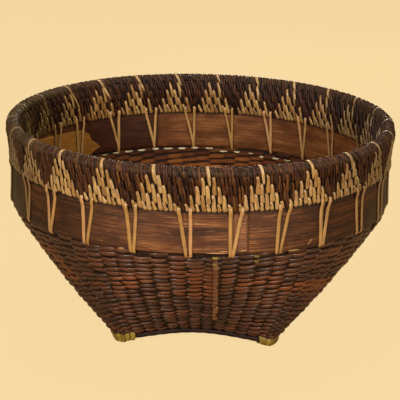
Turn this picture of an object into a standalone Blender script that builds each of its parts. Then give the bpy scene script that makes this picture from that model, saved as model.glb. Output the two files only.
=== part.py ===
# A rattan bread basket. Its woven wall rises from a square foot to a round mouth.
# Two wooden hoops clamp the top of the wall, cane lashings tie them through it,
# and a wrap of dark and pale stitches covers the two rods of the rim.
# Lengths are in metres, +Z is up and the basket stands on z = 0 with one side
# of its foot facing -Y. Angles start at that front and grow towards +X.

import bpy
import bmesh
from collections import Counter
from math import atan2, cos, floor, pi, radians, sin, tan
from mathutils import Vector

# The whole basket
basket_height = 0.180
rim_radius = 0.160
seat_gap = 0.0003

# Counts and places round the basket
repeat_count = 25
repeat_angle = 2 * pi / repeat_count
first_triangle_angle = radians(3.4)
first_lashing_angle = first_triangle_angle + repeat_angle / 2
stake_count = 72
stakes_fanned_at_corner = 6
hoop_facet_count = 3 * repeat_count
rod_facet_count = 2 * repeat_count

# The square foot
foot_half_width = 0.067
foot_corner_radius = 0.012
foot_arch_height = 0.0095
border_thickness = 0.0048
border_facet_count = 48
six_sides = 6

# The woven wall
wall_thickness = 0.0026
clamped_wall_thickness = 0.0018
wall_bulge_share = 0.07
weave_band_count = 20
weave_relief = 0.0012
shoulder_drop = 0.0015

# The two hoops that clamp the wall
outer_hoop_setback = 0.0033
outer_hoop_thickness = 0.0019
outer_hoop_height = 0.046
inner_hoop_thickness = 0.0018
inner_hoop_drop = 0.0025
hoops_lean = 0.0014
scarf_end_angle = radians(14.4)
scarf_span = radians(24)
scarf_edge_thickness = 0.0006
tongue_tip_angle = radians(219.4)
tongue_span = radians(46)
tongue_point_span = radians(8)
tongue_point_rise = 0.008
tongue_point_width = 0.003
tongue_thickness = 0.0008
tongue_point_shares = (0, 0.15, 0.4, 0.7)

# The rim rods and the stitched wrap over them
rim_roll_width = 0.0108
upper_rod_height = 0.0106
lower_rod_height = 0.0084
lower_rod_width = 0.0066
lower_rod_shift = 0.0014
wrap_thickness = 0.0009
wrap_overlap = 0.0148
collar_height = 0.0018
stitch_columns_in_repeat = 10
roll_angles = [radians(turn) for turn in (0, 60, 120, 180)]
crest_band = 4

# The cane lashings
cane_width = 0.0031
cane_thickness = 0.0009
leg_spread_share = 0.12

# The bound corners that it stands on
binding_thickness = 0.0015
binding_rib_height = 0.0004
binding_reach_share = 0.2
binding_flat_share = 0.06
binding_section_count = 9
binding_side_angles = [radians(turn) for turn in (15, -20, -60, -120, -160, -195)]
binding_foot_places = (2, 3)

# The mat that closes the foot
mat_thickness = 0.0024
mat_dome_height = 0.004
mat_column_count = 36
mat_ring_shares = (0.3, 0.7, 1)

# Worked out from the sizes above
rim_middle_radius = rim_radius - rim_roll_width / 2
border_radius = border_thickness / 2
border_middle_height = binding_thickness + seat_gap + border_radius
upper_rod_top = basket_height - 2 * (wrap_thickness + seat_gap)
lower_rod_top = upper_rod_top - upper_rod_height - seat_gap
hoops_top = lower_rod_top - lower_rod_height - seat_gap
outer_hoop_bottom = hoops_top - outer_hoop_height
inner_hoop_bottom = outer_hoop_bottom - inner_hoop_drop
wrap_bottom = hoops_top - wrap_overlap
shoulder_height = inner_hoop_bottom - shoulder_drop
wall_lean = atan2(rim_middle_radius - foot_half_width, shoulder_height)
wall_inset = wall_thickness / cos(wall_lean)
shoulder_lift = clamped_wall_thickness * tan(wall_lean / 2)
border_half_width = foot_half_width - wall_inset / 2


def facet_drop(radius, count):
    """How far the flats of a round piece lie inside its corners."""
    return radius * (1 - cos(pi / count))


def around(radius, angle, height):
    """The point at an angle from the front of the basket."""
    return Vector((radius * sin(angle), -radius * cos(angle), height))


def blend(low, high, share):
    """The value a share of the way from low to high."""
    return low + (high - low) * share


def offset_path(path, distance):
    """Move an open path of (radius, height) points to its right by a distance."""
    points = [Vector(point) for point in path]
    steps = [(after - before).normalized() for before, after in zip(points, points[1:])]
    moved = []
    for point, arriving, leaving in zip(points, steps[:1] + steps, steps + steps[-1:]):
        right = Vector((arriving.y, -arriving.x))
        mitre = (right + Vector((leaving.y, -leaving.x))).normalized()
        moved.append(point + mitre * distance / mitre.dot(right))
    return moved


# Materials
def finish(name, colour, roughness):
    """A plain shader in the colour of one kind of cane or wood."""
    material = bpy.data.materials.new(name)
    material.use_nodes = True
    shader = material.node_tree.nodes["Principled BSDF"]
    shader.inputs["Base Color"].default_value = (*colour, 1)
    shader.inputs["Roughness"].default_value = roughness
    shader.inputs["Metallic"].default_value = 0
    material.diffuse_color = (*colour, 1)
    return material


# Meshes
def add_loft(mesh, sections, closed):
    """Skin a run of sections, each a ring of points, and cap its ends if it is open."""
    rings = [[mesh.verts.new(point) for point in section] for section in sections]
    count = len(rings[0])
    following = rings[1:] + rings[:1] if closed else rings[1:]
    for ring, after in zip(rings, following):
        for index in range(count):
            beside = (index + 1) % count
            mesh.faces.new((ring[index], ring[beside], after[beside], after[index]))
    if not closed:
        mesh.faces.new(rings[0])
        mesh.faces.new(rings[-1])


def add_shell(mesh, outside, inside, cells):
    """Thicken the chosen cells of a grid of levels and columns, from one face to the other."""
    count = len(outside[0])
    corners = {}

    def corner(face, level, column):
        key = (level, column % count)
        if (face, key) not in corners:
            grid = (outside, inside)[face]
            corners[face, key] = mesh.verts.new(grid[level][key[1]])
        return corners[face, key]

    edges = []
    for level, column in cells:
        round_cell = [(level, column), (level, column + 1), (level + 1, column + 1), (level + 1, column)]
        for face in (0, 1):
            mesh.faces.new([corner(face, *place) for place in round_cell])
        for start, end in zip(round_cell, round_cell[1:] + round_cell[:1]):
            edges.append(frozenset((place[0], place[1] % count) for place in (start, end)))
    for edge, uses in Counter(edges).items():
        if uses == 1:
            start, end = sorted(edge)
            mesh.faces.new((corner(0, *start), corner(0, *end), corner(1, *end), corner(1, *start)))


def make_object(name, material, mesh):
    """Turn a finished mesh into one object, smooth over round faces and sharp at edges."""
    bmesh.ops.recalc_face_normals(mesh, faces=mesh.faces)
    data = bpy.data.meshes.new(name)
    mesh.to_mesh(data)
    mesh.free()
    data.shade_smooth()
    data.set_sharp_from_angle(angle=radians(35))
    data.materials.append(material)
    piece = bpy.data.objects.new(name, data)
    bpy.context.collection.objects.link(piece)
    return piece


def make_loft(name, material, sections, closed=False):
    mesh = bmesh.new()
    add_loft(mesh, sections, closed)
    return make_object(name, material, mesh)


# The foot
def side_place(turn):
    """Split a turn into its quarter and the place along that side, from -0.5 to 0.5."""
    quarter = floor(4 * turn + 1 / 2)
    return quarter, 4 * turn - quarter


def foot_outline(turn, half_width):
    """The rounded square of the foot, with its stakes fanned at the corners."""
    quarter, place = side_place(turn)
    corner_radius = max(foot_corner_radius - (foot_half_width - half_width), 0)
    straight = half_width - corner_radius
    straight_place = (1 - stakes_fanned_at_corner / (stake_count / 4)) / 2
    if abs(place) <= straight_place:
        x, y = place / straight_place * straight, -half_width
    else:
        lean = (abs(place) - straight_place) / (1 / 2 - straight_place) * pi / 4
        x = (straight + corner_radius * sin(lean)) * (1 if place > 0 else -1)
        y = -straight - corner_radius * cos(lean)
    side_angle = quarter * pi / 2
    return Vector((x * cos(side_angle) - y * sin(side_angle),
                   x * sin(side_angle) + y * cos(side_angle)))


def foot_normal(turn, half_width):
    """The outward direction of the foot's outline."""
    step = 1 / (16 * stake_count)
    along = foot_outline(turn + step, half_width) - foot_outline(turn - step, half_width)
    return Vector((along.y, -along.x, 0)).normalized()


def border_height(turn):
    """The middle of the border. It arches up between the corners."""
    place = side_place(turn)[1]
    return border_middle_height + foot_arch_height * cos(pi * place) ** 2


def wall_foot(turn):
    """The lower edge of the wall, which stands on the border."""
    return border_height(turn) + border_radius + seat_gap


# The radius of each layer of the rim, from the outside in
def outer_hoop_face(height):
    rise = (height - outer_hoop_bottom) / (hoops_top - outer_hoop_bottom)
    return rim_radius - outer_hoop_setback - hoops_lean * rise


def wall_face(height):
    behind_hoop = outer_hoop_face(height) - outer_hoop_thickness
    return behind_hoop - facet_drop(behind_hoop, hoop_facet_count) - seat_gap


def inner_hoop_seat(height):
    behind_wall = wall_face(height) - clamped_wall_thickness
    return behind_wall - facet_drop(behind_wall, stake_count) - seat_gap


# The woven wall
def wall_point(turn, share, foot_inset, top_inset, top_lift, relief):
    """A point on the sloping wall, a share of the way up from foot to shoulder."""
    low = foot_outline(turn, foot_half_width - foot_inset)
    high = around(wall_face(shoulder_height) - top_inset, 2 * pi * turn, 0).to_2d()
    flat = low.lerp(high, share + 4 * wall_bulge_share * share * (1 - share))
    flat += flat.normalized() * relief
    return Vector((flat.x, flat.y, blend(wall_foot(turn), shoulder_height + top_lift, share)))


def wall_section(stake):
    """The cut through the wall at one stake. The weft stands out on each side of it in turn."""
    turn = stake / stake_count
    outside = []
    inside = []
    for band in list(range(weave_band_count - 1)) + [weave_band_count]:
        woven = 0 < band < weave_band_count
        out = weave_relief if woven and (stake + band) % 2 == 0 else 0
        into = weave_relief if woven and (stake + band) % 2 else 0
        share = band / weave_band_count
        outside.append(wall_point(turn, share, 0, 0, 0, out))
        inside.append(wall_point(turn, share, wall_inset, clamped_wall_thickness, shoulder_lift, -into))
    top_face = wall_face(hoops_top)
    outside.append(around(top_face, 2 * pi * turn, hoops_top))
    inside.append(around(top_face - clamped_wall_thickness, 2 * pi * turn, hoops_top))
    return outside + inside[::-1]


def make_wall(material):
    sections = [wall_section(stake) for stake in range(stake_count)]
    return make_loft("woven_wall", material, sections, closed=True)


def make_border(material):
    """The bound edge of the foot, a thick cane under the wall."""
    sections = []
    for facet in range(border_facet_count):
        turn = facet / border_facet_count
        normal = foot_normal(turn, border_half_width)
        centre = foot_outline(turn, border_half_width).to_3d()
        centre.z = border_height(turn)
        section = []
        for side in range(six_sides):
            lean = 2 * pi * (side + 1 / 2) / six_sides
            section.append(centre + border_radius * (cos(lean) * normal + sin(lean) * Vector((0, 0, 1))))
        sections.append(section)
    make_loft("base_border", material, sections, closed=True)


def make_mat(material):
    """The plaited mat inside the foot. It follows the arched edge and domes up."""
    edge = foot_half_width - wall_inset - seat_gap
    under = []
    over = []
    for share in mat_ring_shares:
        ring = []
        for column in range(mat_column_count):
            turn = column / mat_column_count
            point = (foot_outline(turn, edge) * share).to_3d()
            arch = blend(wall_foot(0), wall_foot(turn), share ** 2)
            point.z = arch + mat_dome_height * (1 - share ** 2)
            ring.append(point)
        under.append(ring)
        over.append([point + Vector((0, 0, mat_thickness)) for point in ring])
    make_loft("base_mat", material, under + over[::-1])


# The hoops
def hoop_section(angle, heights, seat, side, near, far):
    """A cut through a hoop. Near and far are its two faces, measured from its seat."""
    near_face = [around(seat(height) + side * near, angle, height) for height in heights]
    far_face = [around(seat(height) + side * far, angle, height) for height in heights]
    return far_face + near_face[::-1]


def make_outer_hoop(material):
    """A split wood hoop round the wall. Its scarfed ends overlap and lie flush."""
    full = outer_hoop_thickness
    edge = scarf_edge_thickness
    start = scarf_end_angle - scarf_span
    lap_steps = max(round(scarf_span / (2 * pi) * hoop_facet_count), 2)
    rest_steps = hoop_facet_count - lap_steps
    end_room = 2 * seat_gap / rim_middle_radius
    cuts = []
    for step in range(lap_steps + 1):
        share = step / lap_steps
        cuts.append((start + scarf_span * share, 0, blend(edge, full - edge - seat_gap, share)))
    for step in range(rest_steps + 1):
        angle = blend(scarf_end_angle + end_room, start + 2 * pi - end_room, step / rest_steps)
        cuts.append((angle, 0, full))
    for step in range(lap_steps + 1):
        share = step / lap_steps
        cuts.append((start + 2 * pi + scarf_span * share, blend(edge + seat_gap, full - edge, share), full))
    heights = (outer_hoop_bottom, hoops_top)

    def seat(height):
        return outer_hoop_face(height) - full

    sections = [hoop_section(angle, heights, seat, 1, near, far) for angle, near, far in cuts]
    make_loft("outer_hoop", material, sections)


def tongue_heights(share, bottom, top):
    """The rounded point of the tongue, from its tip at 0 to its full width at 1."""
    swell = 1 - (1 - share) ** 2
    point_bottom = bottom + tongue_point_rise
    point_top = point_bottom + tongue_point_width
    return blend(point_bottom, bottom, swell), blend(point_top, top, swell)


def make_inner_hoop(material):
    """A split wood hoop inside the wall. One end is a tongue that lies over the other."""
    full = inner_hoop_thickness
    edge = tongue_thickness
    proud = full + seat_gap + edge
    tall = (inner_hoop_bottom, hoops_top)
    low = (inner_hoop_bottom, wrap_bottom - seat_gap)
    lap_steps = max(round((tongue_span - tongue_point_span) / (2 * pi) * hoop_facet_count), 2)
    rest_steps = hoop_facet_count - lap_steps
    lap_start = tongue_tip_angle + tongue_point_span
    lap_end = tongue_tip_angle + tongue_span
    cuts = []
    for share in tongue_point_shares:
        angle = tongue_tip_angle + tongue_point_span * share
        cuts.append((angle, tongue_heights(share, *low), full + seat_gap, proud))
    for step in range(lap_steps + 1):
        share = step / lap_steps
        near = blend(full + seat_gap, edge + seat_gap, share)
        cuts.append((blend(lap_start, lap_end, share), low, near, proud))
    after_lap = lap_end + 2 * pi / hoop_facet_count
    cuts.append((after_lap, low, 0, full))
    for step in range(1, rest_steps):
        cuts.append((blend(after_lap, lap_start + 2 * pi, step / rest_steps), tall, 0, full))
    for step in range(lap_steps + 1):
        share = step / lap_steps
        cuts.append((blend(lap_start, lap_end, share) + 2 * pi, tall, 0, blend(full, edge, share)))
    sections = []
    for angle, heights, near, far in cuts:
        sections.append(hoop_section(angle, heights, inner_hoop_seat, -1, near, far))
    make_loft("inner_hoop", material, sections)


# The rim rods
def wrap_slack():
    """The room between the wrap and what it covers, with both of their facets."""
    return seat_gap + facet_drop(rim_radius, rod_facet_count)


def rim_rods():
    """The middle radius, middle height, half width and half height of each rod."""
    upper_half = upper_rod_height / 2
    lower_half = lower_rod_height / 2
    upper_width = rim_roll_width - 2 * (wrap_thickness + wrap_slack())
    upper = (rim_middle_radius, upper_rod_top - upper_half, upper_width / 2, upper_half)
    lower = (rim_middle_radius - lower_rod_shift, lower_rod_top - lower_half, lower_rod_width / 2, lower_half)
    return upper, lower


def make_rods(material):
    """Two canes, one on the other, which the wrap is stitched round."""
    for name, rod in zip(("upper_rim_rod", "lower_rim_rod"), rim_rods()):
        radius, height, half_width, half_height = rod
        sections = []
        for facet in range(rod_facet_count):
            section = []
            for side in range(six_sides):
                lean = 2 * pi * side / six_sides
                out = half_width * cos(lean)
                up = half_height * sin(lean) / sin(pi / 3)
                section.append(around(radius + out, 2 * pi * facet / rod_facet_count, height + up))
            sections.append(section)
        make_loft(name, material, sections, closed=True)


# The stitched wrap
def wrap_path(collar):
    """The inside of the wrap, from its outer edge over the crest to its inner edge."""
    upper, lower = rim_rods()
    slack = wrap_slack()
    outer_edge = outer_hoop_face(wrap_bottom) + slack
    inner_edge = inner_hoop_seat(wrap_bottom) - inner_hoop_thickness - slack
    outer_side = max(lower[0] + lower[2], outer_hoop_face(hoops_top)) + slack
    inner_side = min(lower[0] - lower[2], inner_hoop_seat(hoops_top) - inner_hoop_thickness) - slack
    collar_share = collar / (lower[1] - wrap_bottom)
    path = [(outer_edge, wrap_bottom)]
    path.append((blend(outer_edge, outer_side, collar_share), wrap_bottom + collar))
    path.append((outer_side, lower[1]))
    for angle in roll_angles:
        up = (upper[3] + seat_gap) * sin(angle) / sin(pi / 3)
        path.append((upper[0] + (upper[2] + slack) * cos(angle), upper[1] + up))
    path.append((inner_side, lower[1]))
    path.append((blend(inner_edge, inner_side, collar_share), wrap_bottom + collar))
    path.append((inner_edge, wrap_bottom))
    return path


def triangle_half_angles(path):
    """Half the width of a pale triangle at each level, down to one stitch at its point."""
    stitch = repeat_angle / stitch_columns_in_repeat
    point_height = rim_rods()[0][1]
    base_height = wrap_bottom + collar_height
    halves = []
    for radius, height in path:
        drop = min(max((point_height - height) / (point_height - base_height), 0), 1)
        halves.append(stitch * blend(1, stitch_columns_in_repeat - 1, drop) / 2)
    return halves


def wrap_grid(path, halves):
    """Four columns for each repeat: the triangle's left edge, middle, right edge and valley."""
    grid = []
    for (radius, height), half in zip(path, halves):
        level = []
        for repeat in range(repeat_count):
            middle = first_triangle_angle + repeat * repeat_angle
            for side in (-half, 0, half, repeat_angle / 2):
                level.append(around(radius, middle + side, height))
        grid.append(level)
    return grid


def make_wrap_colour(name, material, collar, side, raised, chosen):
    """The stitches of one colour, as one body round the whole rim."""
    path = wrap_path(collar)
    flush_face = offset_path(path, wrap_thickness)
    raised_back = offset_path(path, wrap_thickness + seat_gap)
    raised_face = offset_path(path, 2 * wrap_thickness + seat_gap)
    backs = [Vector(point) for point in path]
    faces = list(flush_face)
    for level in raised:
        backs[level] = raised_back[level]
        faces[level] = raised_face[level]
    split = seat_gap / (2 * rim_middle_radius)
    halves = [half + side * split for half in triangle_half_angles(path)]
    mesh = bmesh.new()
    cells = []
    for repeat in range(repeat_count):
        cells += [(band, 4 * repeat + column) for band, column in chosen]
    add_shell(mesh, wrap_grid(faces, halves), wrap_grid(backs, halves), cells)
    make_object(name, material, mesh)


def make_wrap(dark, pale):
    """Dark stitches all along the crest, and pale triangles that meet in a collar below.

    A pale strand joins each triangle to the one inside, over the dark crest."""
    last_band = len(wrap_path(collar_height)) - 2
    triangle, valley = (0, 1), (2, 3)
    pale_cells = [(band, column) for band in range(last_band + 1) for column in triangle]
    pale_cells += [(band, column) for band in (0, last_band) for column in valley]
    dark_cells = [(band, column) for band in range(1, last_band) for column in valley]
    dark_cells += [(crest_band, column) for column in triangle]
    crest_levels = (crest_band, crest_band + 1)
    make_wrap_colour("pale_stitching", pale, collar_height, -1, crest_levels, pale_cells)
    make_wrap_colour("dark_stitching", dark, collar_height + seat_gap, 1, (), dark_cells)


# The lashings
def tongue_stands_in(angle):
    """How far the tongue stands inside the inner hoop at an angle."""
    margin = 2 * repeat_angle * leg_spread_share
    past_tip = (angle - tongue_tip_angle) % (2 * pi)
    covered = past_tip < tongue_span + 2 * margin or past_tip > 2 * pi - margin
    return tongue_thickness + seat_gap if covered else 0


def lashing_path(angle):
    """The middle of a leg: down the outer hoop, in under both hoops and up inside."""
    half = cane_thickness / 2
    rest = seat_gap + half + facet_drop(rim_radius, hoop_facet_count)
    stand = inner_hoop_thickness + tongue_stands_in(angle) + rest
    top = wrap_bottom - seat_gap
    outer_leg = outer_hoop_face(outer_hoop_bottom) + rest
    inner_leg = inner_hoop_seat(inner_hoop_bottom) - stand
    outer_low = outer_hoop_bottom - seat_gap - half
    under_inner_hoop = inner_hoop_bottom - 2 * seat_gap - half
    slope = (outer_low - under_inner_hoop) / (outer_leg - inner_hoop_seat(inner_hoop_bottom))
    return [
        (outer_hoop_face(top) + rest, top),
        (outer_leg, outer_low),
        (inner_leg, outer_low - slope * (outer_leg - inner_leg)),
        (inner_hoop_seat(top) - stand, top),
    ]


def make_lashings(material):
    """Each lashing is a V of cane outside and one inside, joined through the wall."""
    hole_band = 1
    for repeat in range(repeat_count):
        middle = first_lashing_angle + repeat * repeat_angle
        path = lashing_path(middle)
        top = path[0][1]
        half = cane_width / 2 / rim_middle_radius
        together = half + seat_gap / 2 / rim_middle_radius
        spread = repeat_angle * leg_spread_share
        grids = []
        for face in (offset_path(path, -cane_thickness / 2), offset_path(path, cane_thickness / 2)):
            grid = []
            for radius, height in face:
                climb = min(max((height - outer_hoop_bottom) / (top - outer_hoop_bottom), 0), 1)
                leg = blend(together, spread, climb)
                sides = (-leg - half, -leg + half, leg - half, leg + half)
                grid.append([around(radius, middle + side, height) for side in sides])
            grids.append(grid)
        cells = [(band, column) for band in range(len(path) - 1) for column in (0, 2)]
        cells.append((hole_band, 1))
        mesh = bmesh.new()
        add_shell(mesh, grids[0], grids[1], cells)
        make_object(f"lashing_{repeat + 1:02d}", material, mesh)


def cut_lashing_holes(wall):
    """A slot through the wall for each lashing."""
    half = (cane_width + 2 * seat_gap) / rim_middle_radius
    mesh = bmesh.new()
    for repeat in range(repeat_count):
        middle = first_lashing_angle + repeat * repeat_angle
        line = lashing_path(middle)[1:3]
        above = offset_path(line, cane_thickness / 2 + seat_gap)
        below = offset_path(line, -cane_thickness / 2 - seat_gap)
        sections = []
        for (high, high_up), (low, low_up) in zip(above, below):
            sections.append([around(high, middle - half, high_up), around(high, middle + half, high_up),
                             around(low, middle + half, low_up), around(low, middle - half, low_up)])
        add_loft(mesh, sections, closed=False)
    cutter = make_object("lashing_hole_cutter", wall.data.materials[0], mesh)
    cutter.hide_render = True
    cutter.display_type = "WIRE"
    cut = wall.modifiers.new("lashing_holes", "BOOLEAN")
    cut.operation = "DIFFERENCE"
    cut.solver = "EXACT"
    cut.object = cutter


# The corners that it stands on
def make_corner_bindings(material):
    """Splint wound round the border at each corner and pressed flat underneath."""
    near = border_radius + seat_gap
    names = ("front_right_foot_binding", "back_right_foot_binding",
             "back_left_foot_binding", "front_left_foot_binding")
    for corner, name in enumerate(names):
        sections = []
        for index in range(binding_section_count):
            reach = blend(-binding_reach_share, binding_reach_share, index / (binding_section_count - 1))
            turn = (corner + 1 / 2 + reach) / 4
            normal = foot_normal(turn, border_half_width)
            centre = foot_outline(turn, border_half_width).to_3d()
            centre.z = border_height(turn)
            rib = binding_rib_height if index % 2 else 0
            far = near + binding_thickness + rib
            outer = []
            inner = []
            for place, lean in enumerate(binding_side_angles):
                direction = cos(lean) * normal + sin(lean) * Vector((0, 0, 1))
                point = centre + far * direction
                if place in binding_foot_places:
                    pressed = abs(reach) < binding_flat_share
                    point.z = 0 if pressed else max(centre.z - far, 0)
                outer.append(point)
                inner.append(centre + near / cos(pi / six_sides) * direction)
            sections.append(outer + inner[::-1])
        make_loft(name, material, sections)


def build():
    for old in list(bpy.data.objects):
        bpy.data.objects.remove(old)
    wall = make_wall(finish("weathered_brown_rattan", (0.10, 0.045, 0.02), 0.5))
    make_border(finish("dark_border_cane", (0.05, 0.025, 0.015), 0.5))
    make_mat(finish("plaited_base_splint", (0.12, 0.06, 0.025), 0.6))
    make_outer_hoop(finish("red_brown_hoop_wood", (0.13, 0.05, 0.018), 0.45))
    make_inner_hoop(finish("mid_brown_hoop_wood", (0.20, 0.085, 0.03), 0.5))
    make_rods(finish("rim_rod_cane", (0.25, 0.14, 0.06), 0.6))
    make_wrap(finish("dark_dyed_cane", (0.04, 0.022, 0.015), 0.4),
              finish("pale_natural_cane", (0.55, 0.33, 0.15), 0.4))
    make_lashings(finish("split_cane_lashing", (0.50, 0.29, 0.12), 0.4))
    make_corner_bindings(finish("yellow_green_splint", (0.30, 0.22, 0.04), 0.5))
    cut_lashing_holes(wall)


build()
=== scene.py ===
import bpy
import numpy as np
from math import pi, radians
from mathutils import Matrix, Vector


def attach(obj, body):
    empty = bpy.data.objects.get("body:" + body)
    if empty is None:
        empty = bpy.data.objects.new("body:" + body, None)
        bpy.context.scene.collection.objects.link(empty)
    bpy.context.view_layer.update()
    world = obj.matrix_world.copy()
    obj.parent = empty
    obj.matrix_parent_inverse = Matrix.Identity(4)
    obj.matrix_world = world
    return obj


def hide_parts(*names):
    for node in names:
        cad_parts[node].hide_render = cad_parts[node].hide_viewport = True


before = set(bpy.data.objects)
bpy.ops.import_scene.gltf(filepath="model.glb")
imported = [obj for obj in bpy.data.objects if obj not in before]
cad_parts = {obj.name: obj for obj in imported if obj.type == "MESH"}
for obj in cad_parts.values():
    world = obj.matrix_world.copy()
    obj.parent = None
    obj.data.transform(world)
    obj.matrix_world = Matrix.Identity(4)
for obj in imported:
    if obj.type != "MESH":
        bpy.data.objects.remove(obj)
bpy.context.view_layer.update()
print("frame loaded:", len(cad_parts), "solids")

# sizes of the basket in metres, as the solids have them
basket = {
    "outerHoopBottom": 0.112, "outerHoopRadius": 0.1567, "outerHoopLean": 0.0014 / 0.046,
    "innerHoopBottom": 0.1095, "innerHoopRadius": 0.1505, "innerHoopLean": 0.0015 / 0.0485,
    "hoopsTop": 0.158, "shoulder": 0.108, "shoulderRadius": 0.1544, "bulge": 0.07,
    "footHalf": 0.067, "footCorner": 0.012, "archHeight": 0.0095,
    "borderHalf": 0.0653, "borderMiddle": 0.0042, "borderRadius": 0.0024, "overBorder": 0.0003,
    "stakes": 72, "repeats": 25, "stitchesPerRepeat": 10,
    "firstPoint": radians(3.4), "firstLashing": radians(10.6),
}
repeatAngle = 2 * pi / basket["repeats"]
stitchAngle = repeatAngle / basket["stitchesPerRepeat"]
rng = np.random.default_rng(41)


def paint(hexColour):
    values = [int(hexColour[i:i + 2], 16) / 255 for i in (1, 3, 5)]
    linear = [v / 12.92 if v <= 0.04045 else ((v + 0.055) / 1.055) ** 2.4 for v in values]
    return (*linear, 1)


def fillInputs(node, inputs):
    # an input takes a link, a hex colour or a plain value; a row without names fills them in order
    for socket, value in inputs.items() if isinstance(inputs, dict) else enumerate(inputs):
        if isinstance(value, bpy.types.NodeSocket):
            node.id_data.links.new(value, node.inputs[socket])
        else:
            node.inputs[socket].default_value = paint(value) if isinstance(value, str) else value


def addNode(tree, kind, inputs=(), output=0, stops=(), **settings):
    # stops are the places and colours of a colour ramp
    node = tree.nodes.new(kind)
    for name, value in settings.items():
        setattr(node, name, value)
    fillInputs(node, inputs)
    for _ in stops[2:]:
        node.color_ramp.elements.new(0.5)
    for i, (place, hexColour) in enumerate(stops):
        node.color_ramp.elements[i].position = place
        node.color_ramp.elements[i].color = paint(hexColour)
    return node.outputs[output] if len(node.outputs) else None


def strandPlace(tree):
    # metres along the strand, metres across it, and the strand's own tone from 0 to 1
    mark = addNode(tree, "ShaderNodeAttribute", output="Vector", attribute_name="strand")
    return addNode(tree, "ShaderNodeSeparateXYZ", [mark]).node.outputs


def basketPlace(tree):
    # metres to the right, to the back and up
    place = addNode(tree, "ShaderNodeTexCoord", output="Object")
    return addNode(tree, "ShaderNodeSeparateXYZ", [place]).node.outputs


def fibres(tree, alongSize, acrossSize, detail=2.0):
    # streaks that run along the strand and differ from tone to tone; both sizes are in metres
    mark = addNode(tree, "ShaderNodeAttribute", output="Vector", attribute_name="strand")
    place = addNode(tree, "ShaderNodeVectorMath", [mark, (1 / alongSize, 1 / acrossSize, 37.0)],
                    operation="MULTIPLY")
    return addNode(tree, "ShaderNodeTexNoise",
                   {"Vector": place, "Scale": 1.0, "Detail": detail, "Roughness": 0.6})


def blotches(tree, size, detail=2.0, stretch=(1, 1, 1), shift=0.0):
    # soft patches in the object's own space; size is in metres
    place = addNode(tree, "ShaderNodeTexCoord", output="Object")
    mapped = addNode(tree, "ShaderNodeMapping", {
        "Vector": place, "Scale": stretch, "Location": (shift, shift, shift)})
    return addNode(tree, "ShaderNodeTexNoise", {"Vector": mapped, "Scale": 1 / size, "Detail": detail})


def layOver(tree, colour, *layers):
    # each layer is a pattern, the two values it comes in between, its full share and its colour
    for pattern, low, high, full, over in layers:
        share = addNode(tree, "ShaderNodeMapRange", [pattern, low, high, 0.0, full])
        colour = addNode(tree, "ShaderNodeMix", {0: share, 6: colour, 7: over}, 2, data_type="RGBA")
    return colour


def startMaterial(name):
    material = bpy.data.materials.new(name)
    material.use_nodes = True
    return material, material.node_tree


def finishMaterial(material, colour, grain, roughness, depth, strength, gloss, between=(0.3, 0.8)):
    # the grain sets the roughness and a relief, its depth in metres; dry plant fibre has an IOR of 1.5
    tree = material.node_tree
    rough = addNode(tree, "ShaderNodeMapRange", [grain, *between, *roughness])
    relief = addNode(tree, "ShaderNodeBump", {"Height": grain, "Distance": depth, "Strength": strength})
    fillInputs(tree.nodes["Principled BSDF"], {
        "Base Color": colour, "Roughness": rough, "Normal": relief, "IOR": 1.5, "Metallic": 0, **gloss})
    return material


# Split cane keeps its hard skin, so the eye gets a satin gleam along each strand
canes = {
    "pale_split_cane": {
        "tones": [(0, "#92662E"), (0.3, "#B28848"), (0.55, "#C09A5C"), (0.8, "#CAA670"), (1, "#B88852")],
        "streaks": 0.75, "dirt": 0.6, "roughness": (0.34, 0.56), "coat": 0.35},
    "lashing_split_cane": {
        "tones": [(0, "#A87E40"), (0.5, "#BE9258"), (1, "#C69464")],
        "streaks": 0.45, "dirt": 0.3, "roughness": (0.32, 0.54), "coat": 0.35},
    "yellow_green_splint": {
        "tones": [(0, "#6A5616"), (0.5, "#8E7620"), (1, "#A88E30")],
        "streaks": 0.5, "dirt": 0.4, "roughness": (0.42, 0.64), "coat": 0.08},
    "pale_olive_splint": {
        "tones": [(0, "#8E8660"), (0.5, "#AAA07A"), (1, "#C4BA94")],
        "streaks": 0.3, "dirt": 0.3, "roughness": (0.37, 0.59), "coat": 0.1},
    "tan_stake_cane": {
        "tones": [(0, "#5E3A20"), (0.5, "#6E4629"), (1, "#8A5C38")],
        "streaks": 0.7, "dirt": 0.8, "roughness": (0.42, 0.64), "coat": 0.05},
}


def splitCane(name):
    look = canes[name]
    material, tree = startMaterial(name)
    base = addNode(tree, "ShaderNodeValToRGB", [strandPlace(tree)[2]], stops=look["tones"])
    # real fibres lie about 0.2 mm apart, drawn at 0.7 mm so that they show
    grain = fibres(tree, 0.012, 0.0007)
    side = basketPlace(tree)[0]
    # towards the basket's two sides, most of all at the left, the cane is painted darker and olive: painted
    # shade of the sides, with an olive tint
    wearAndSideShade = layOver(tree, base, (grain, 0.35, 0.75, look["streaks"], "#4A2A14"),
                   (blotches(tree, 0.006), 0.5, 0.75, look["dirt"], "#5A341C"),
                   (side, -0.10, -0.15, 0.84, "#3C3012"), (side, 0.085, 0.150, 0.68, "#46341A"))
    return finishMaterial(material, wearAndSideShade, grain, look["roughness"], 0.00012, 0.6, {
        "Coat Weight": look["coat"], "Coat Roughness": 0.22})


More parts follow.
